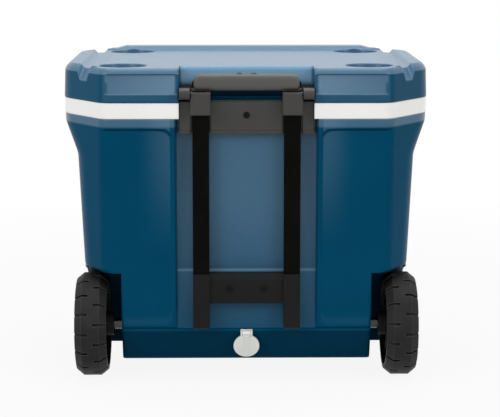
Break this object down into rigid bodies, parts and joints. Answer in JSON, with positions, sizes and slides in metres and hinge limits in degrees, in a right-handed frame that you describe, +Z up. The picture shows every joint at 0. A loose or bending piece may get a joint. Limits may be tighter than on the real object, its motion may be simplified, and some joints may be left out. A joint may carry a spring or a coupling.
{
  "type": "wheeled cooler",
  "caption": "Insulated cooler box with a hinged lid that has cup holders, a telescoping pull handle and lugged wheels at the rear, moulded hand-holds and a drain cap.",
  "frame": {"origin": "on the ground, under the middle of the overall box", "axes": "+X right seen from the wheel side, +Y from the wheel side to the front, +Z up"},
  "size_m": [0.58, 0.4575, 0.5045],
  "materials": {
    "blue_shell": "satin",
    "white_liner": "satin",
    "insulation": "matte",
    "black_plastic": "satin",
    "black_tube": "satin",
    "rail_aluminium": "satin",
    "wheel_black": "matte",
    "drain_white": "satin",
    "gasket_rubber": "matte",
    "steel": "satin",
    "dark_screw": "gloss",
    "glide_plastic": "matte"
  },
  "bodies": {
    "cooler_body": {"outer_shell": "blue_shell", "base_shell": "blue_shell", "foam_core": "insulation", "inner_liner": "white_liner", "rim_band": "white_liner", "upper_bracket": "black_plastic", "lower_bracket": "black_plastic", "upper_bracket_screw": "dark_screw", "lower_bracket_screws": "dark_screw", "drain_spout": "drain_white", "drain_gasket": "gasket_rubber", "drain_nut": "drain_white", "drain_anchor": "drain_white", "drain_pin": "steel", "front_foot_left": "blue_shell", "front_foot_right": "blue_shell", "inner_rail_left": "rail_aluminium", "inner_rail_right": "rail_aluminium", "rail_stop_left": "glide_plastic", "rail_stop_right": "glide_plastic", "hinge_pin_left": "steel", "hinge_pin_right": "steel", "axle_left": "steel", "axle_right": "steel", "axle_spacer_left": "steel", "axle_spacer_right": "steel", "axle_cap_left": "black_plastic", "axle_cap_right": "black_plastic"},
    "lid": {"lid_shell": "blue_shell", "lid_foam": "insulation", "lid_liner": "white_liner", "lid_hinge_screws": "dark_screw", "lid_hinge_left": "black_plastic", "lid_hinge_right": "black_plastic"},
    "handle": {"handle_grip": "black_plastic", "grip_screws": "dark_screw", "handle_tube_left": "black_tube", "handle_tube_right": "black_tube", "tube_bush_left": "glide_plastic", "tube_bush_right": "glide_plastic"},
    "left_wheel": {"wheel_left": "wheel_black"},
    "right_wheel": {"wheel_right": "wheel_black"},
    "drain_flap": {"drain_cap": "drain_white"}
  },
  "joints": [
    {"name": "lid_hinge", "type": "hinge", "parent": "cooler_body", "child": "lid", "pos_m": [0, -0.21925, 0.46], "axis": [-1, 0, 0], "range_deg": [-95, 0]},
    {"name": "handle_slide", "type": "slide", "parent": "cooler_body", "child": "handle", "axis": [0, 0, 1], "range_m": [0, 0.255]},
    {"name": "left_wheel_spin", "type": "hinge", "parent": "cooler_body", "child": "left_wheel", "pos_m": [-0.2458, -0.14625, 0.0825], "axis": [1, 0, 0], "continuous": true},
    {"name": "right_wheel_spin", "type": "hinge", "parent": "cooler_body", "child": "right_wheel", "pos_m": [0.2458, -0.14625, 0.0825], "axis": [1, 0, 0], "continuous": true},
    {"name": "drain_cap_swing", "type": "hinge", "parent": "cooler_body", "child": "drain_flap", "pos_m": [0, -0.19834, 0.07852], "axis": [-1, 0, 0], "range_deg": [0, 120]}
  ]
}
